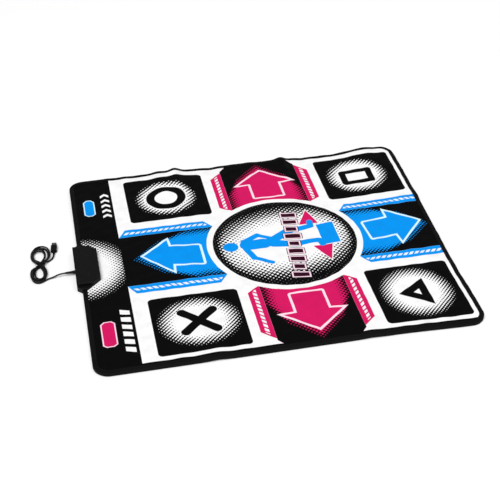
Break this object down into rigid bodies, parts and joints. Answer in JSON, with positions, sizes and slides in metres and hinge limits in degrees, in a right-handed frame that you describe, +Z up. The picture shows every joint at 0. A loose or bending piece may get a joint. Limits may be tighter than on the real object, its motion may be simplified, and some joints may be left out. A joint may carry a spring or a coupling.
{
  "type": "dance mat controller",
  "caption": "Soft padded dance mat with eight foot switches round a plain centre, two function keys, a clip-on control box on its front edge and a wound cord with a plug.",
  "frame": {"origin": "middle of the mat's underside, on the floor", "axes": "+Y the way the player faces, from the back edge to the control box; +X the player's right; +Z up"},
  "size_m": [0.82, 1.0532, 0.0206],
  "materials": {
    "printed_cover": "satin",
    "base_cloth": "matte",
    "padding": "matte",
    "contact_film": "satin",
    "spacer_foam": "matte",
    "binding": "matte",
    "box_plastic": "matte",
    "screw_steel": "satin",
    "board": "satin",
    "clamp_rubber": "matte",
    "clamp_plastic": "matte",
    "chip_resin": "gloss",
    "component_cans": "satin",
    "header_plastic": "satin",
    "lead_wire": "satin",
    "relief_rubber": "matte",
    "cord_jacket": "satin",
    "tie_plastic": "satin",
    "plug_plastic": "satin",
    "plug_steel": "polished",
    "tongue_plastic": "satin",
    "contact_metal": "polished"
  },
  "bodies": {
    "mat": {"base_sheet": "base_cloth", "padding_foam": "padding", "lower_contact_film": "contact_film", "spacer_sheet": "spacer_foam", "upper_contact_film": "contact_film", "cover_sheet": "printed_cover", "edge_binding": "binding", "box_lower_shell": "box_plastic", "box_upper_shell": "box_plastic", "box_screws": "screw_steel", "circuit_board": "board", "film_tail": "contact_film", "tail_rubber": "clamp_rubber", "clamp_bar": "clamp_plastic", "clamp_screws": "screw_steel", "controller_chip": "chip_resin", "board_parts": "component_cans", "cord_header": "header_plastic", "inner_leads": "lead_wire", "strain_relief": "relief_rubber", "cord_lead": "cord_jacket", "cord_hank": "cord_jacket", "cord_tail": "cord_jacket", "cable_tie": "tie_plastic", "plug_body": "plug_plastic", "plug_shell": "plug_steel", "plug_tongue": "tongue_plastic", "plug_contacts": "contact_metal"},
    "front_right": {"front_right_panel": "printed_cover", "front_right_contact": "contact_film"},
    "front_left": {"front_left_panel": "printed_cover", "front_left_contact": "contact_film"},
    "back_right": {"back_right_panel": "printed_cover", "back_right_contact": "contact_film"},
    "back_left": {"back_left_panel": "printed_cover", "back_left_contact": "contact_film"},
    "front_arrow": {"front_arrow_panel": "printed_cover", "front_arrow_contact": "contact_film"},
    "back_arrow": {"back_arrow_panel": "printed_cover", "back_arrow_contact": "contact_film"},
    "right_arrow": {"right_arrow_panel": "printed_cover", "right_arrow_contact": "contact_film"},
    "left_arrow": {"left_arrow_panel": "printed_cover", "left_arrow_contact": "contact_film"},
    "start_key": {"start_key_panel": "printed_cover", "start_key_contact": "contact_film"},
    "select_key": {"select_key_panel": "printed_cover", "select_key_contact": "contact_film"}
  },
  "joints": [
    {"name": "front_right_press", "type": "slide", "parent": "mat", "child": "front_right", "axis": [0, 0, -1], "range_m": [0, 0.0015], "stiffness_N_per_m": 15000},
    {"name": "front_left_press", "type": "slide", "parent": "mat", "child": "front_left", "axis": [0, 0, -1], "range_m": [0, 0.0015], "stiffness_N_per_m": 15000},
    {"name": "back_right_press", "type": "slide", "parent": "mat", "child": "back_right", "axis": [0, 0, -1], "range_m": [0, 0.0015], "stiffness_N_per_m": 15000},
    {"name": "back_left_press", "type": "slide", "parent": "mat", "child": "back_left", "axis": [0, 0, -1], "range_m": [0, 0.0015], "stiffness_N_per_m": 15000},
    {"name": "front_arrow_press", "type": "slide", "parent": "mat", "child": "front_arrow", "axis": [0, 0, -1], "range_m": [0, 0.0015], "stiffness_N_per_m": 15000},
    {"name": "back_arrow_press", "type": "slide", "parent": "mat", "child": "back_arrow", "axis": [0, 0, -1], "range_m": [0, 0.0015], "stiffness_N_per_m": 15000},
    {"name": "right_arrow_press", "type": "slide", "parent": "mat", "child": "right_arrow", "axis": [0, 0, -1], "range_m": [0, 0.0015], "stiffness_N_per_m": 15000},
    {"name": "left_arrow_press", "type": "slide", "parent": "mat", "child": "left_arrow", "axis": [0, 0, -1], "range_m": [0, 0.0015], "stiffness_N_per_m": 15000},
    {"name": "start_key_press", "type": "slide", "parent": "mat", "child": "start_key", "axis": [0, 0, -1], "range_m": [0, 0.0015], "stiffness_N_per_m": 6000},
    {"name": "select_key_press", "type": "slide", "parent": "mat", "child": "select_key", "axis": [0, 0, -1], "range_m": [0, 0.0015], "stiffness_N_per_m": 6000}
  ]
}
